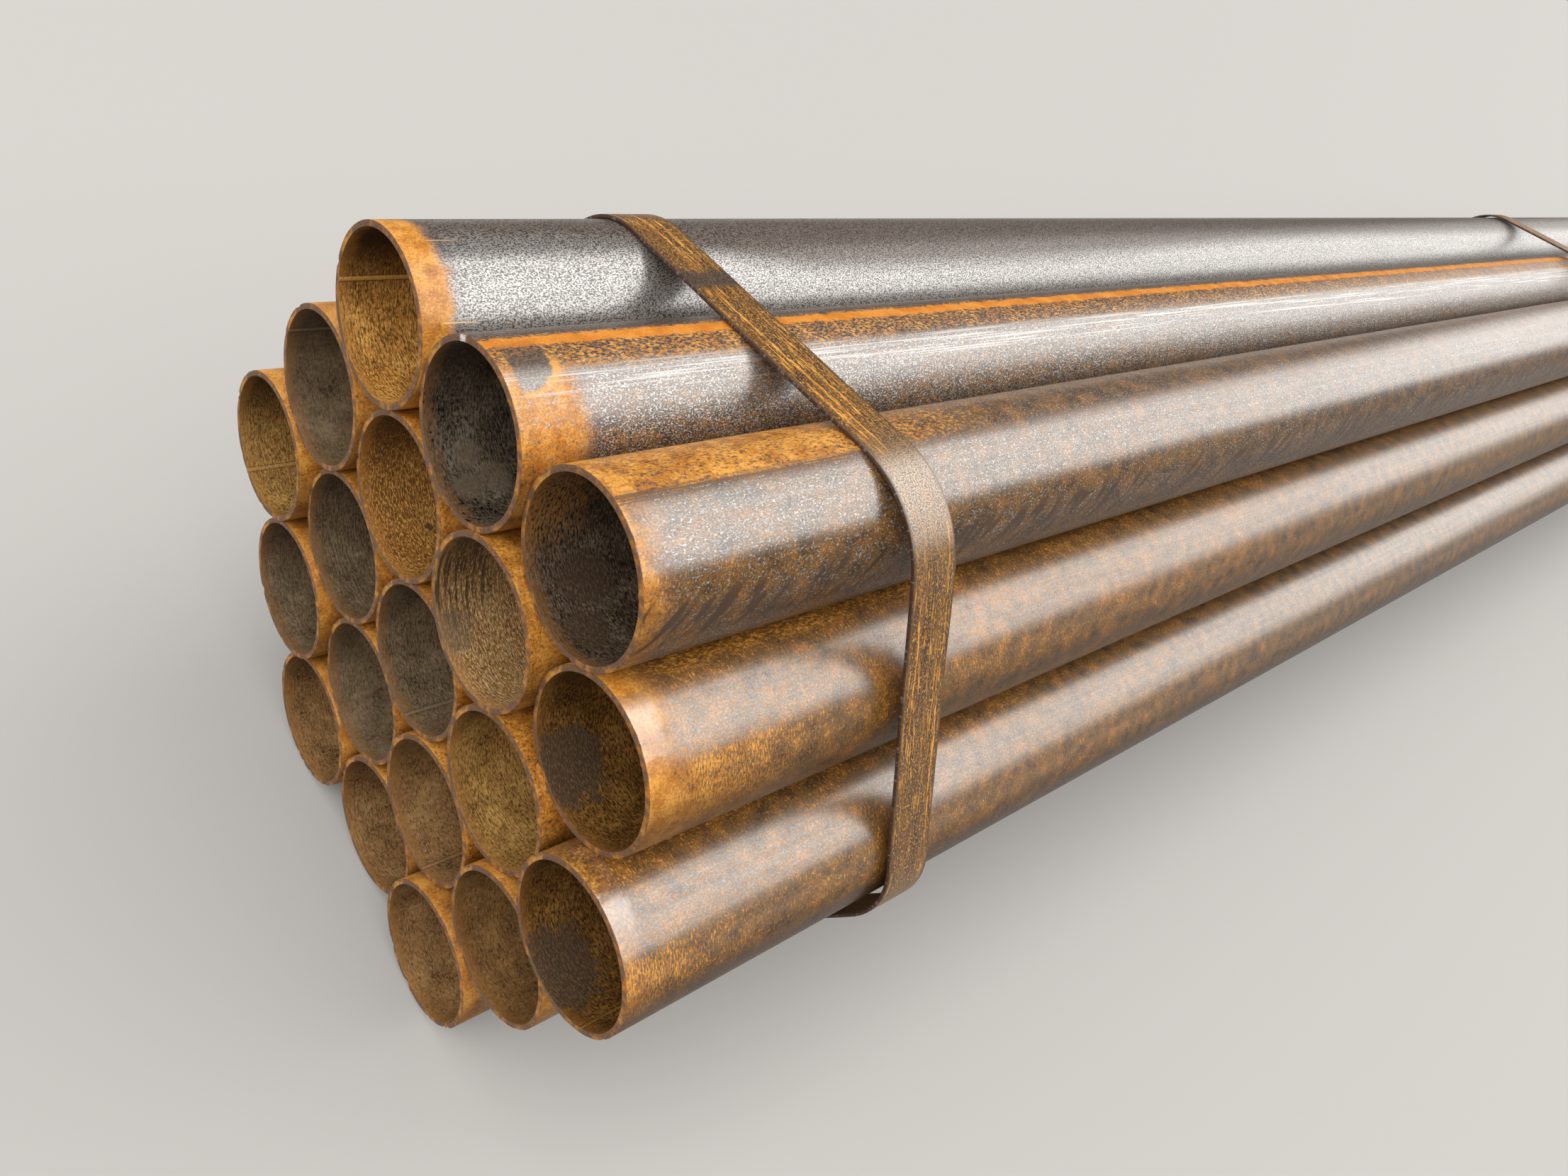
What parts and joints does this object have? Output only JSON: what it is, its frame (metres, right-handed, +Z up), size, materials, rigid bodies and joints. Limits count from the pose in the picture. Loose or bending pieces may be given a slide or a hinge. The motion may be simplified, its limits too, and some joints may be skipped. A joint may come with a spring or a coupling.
{
  "type": "bundle of steel pipes",
  "caption": "Hexagonal bundle of round welded steel pipes, mill scale and light rust, tied with flat steel straps that are lapped and welded.",
  "frame": {"origin": "on the floor under the middle of the bundle, halfway along its pipes", "axes": "+X runs along the pipes, away from the ends that the picture shows; +Z is up"},
  "size_m": [6.018, 0.5858, 0.537],
  "materials": {
    "pipe_steel": "oily mill scale with patches of orange rust",
    "strap_steel": "olive brown rolled strip with orange rust streaks"
  },
  "bodies": {
    "root": {"pipe_01": "pipe_steel", "pipe_02": "pipe_steel", "pipe_03": "pipe_steel", "pipe_04": "pipe_steel", "pipe_05": "pipe_steel", "pipe_06": "pipe_steel", "pipe_07": "pipe_steel", "pipe_08": "pipe_steel", "pipe_09": "pipe_steel", "pipe_10": "pipe_steel", "pipe_11": "pipe_steel", "pipe_12": "pipe_steel", "pipe_13": "pipe_steel", "pipe_14": "pipe_steel", "pipe_15": "pipe_steel", "pipe_16": "pipe_steel", "pipe_17": "pipe_steel", "pipe_18": "pipe_steel", "pipe_19": "pipe_steel", "strap_1": "strap_steel", "strap_2": "strap_steel", "strap_3": "strap_steel", "strap_4": "strap_steel"}
  },
  "joints": []
}
